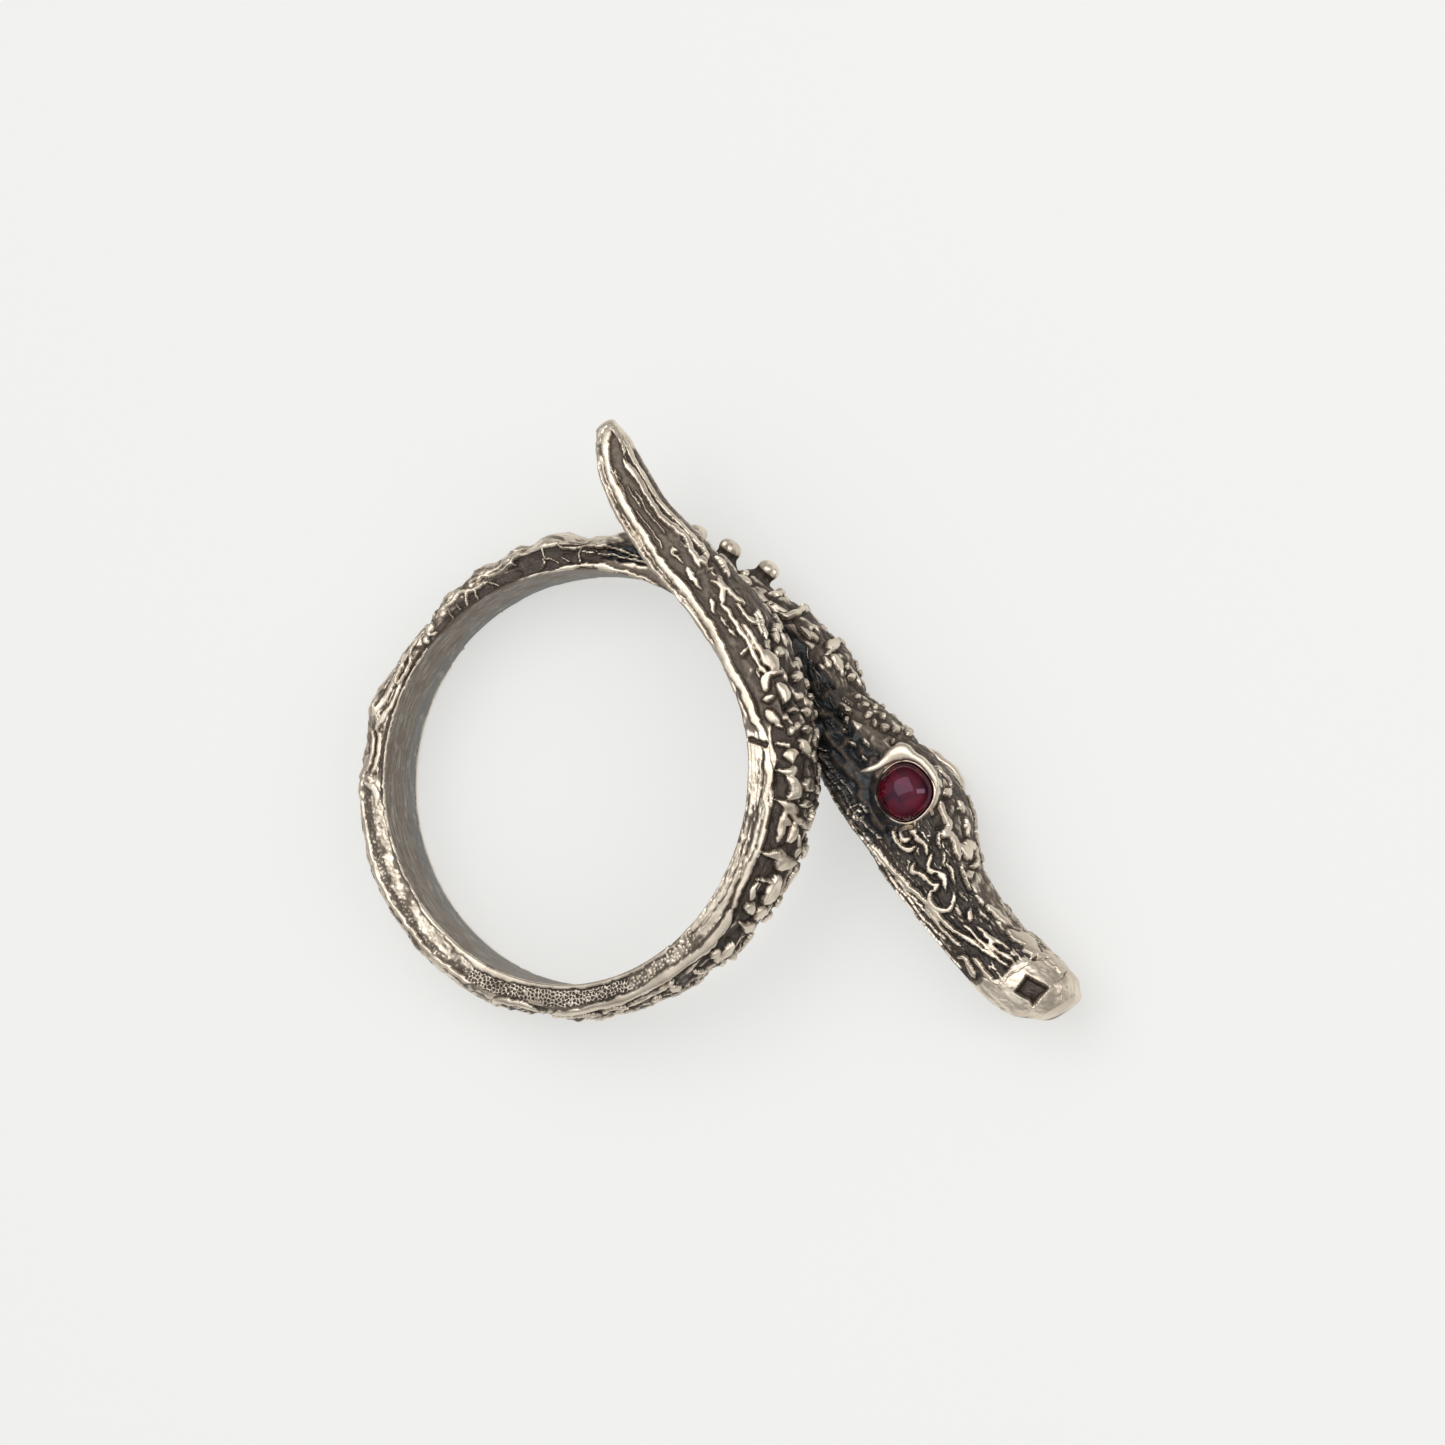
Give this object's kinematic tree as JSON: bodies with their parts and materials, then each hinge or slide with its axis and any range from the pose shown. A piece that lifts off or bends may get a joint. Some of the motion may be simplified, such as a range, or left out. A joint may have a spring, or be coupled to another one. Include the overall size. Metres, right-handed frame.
{
  "type": "alligator wrap ring",
  "caption": "Finger ring cast as a slender alligator wound once round the finger, with its tail crossing its neck and smooth red cabochon eyes.",
  "frame": {"origin": "middle of the finger hole, on its axis, halfway up the wall", "axes": "+Z along the finger axis, the tail strand on the +Z side and the neck strand on the -Z side; the head points to +X and -Y, the tail to +Y"},
  "size_m": [0.0332, 0.0259, 0.0075],
  "materials": {
    "cast_metal": "pale cast bronze, polished on the high points, dark patina in the recesses",
    "red_stone": "smooth polished deep red cabochon"
  },
  "bodies": {
    "root": {"ring_body": "cast_metal", "ruby_eye_left": "red_stone", "ruby_eye_right": "red_stone"}
  },
  "joints": []
}
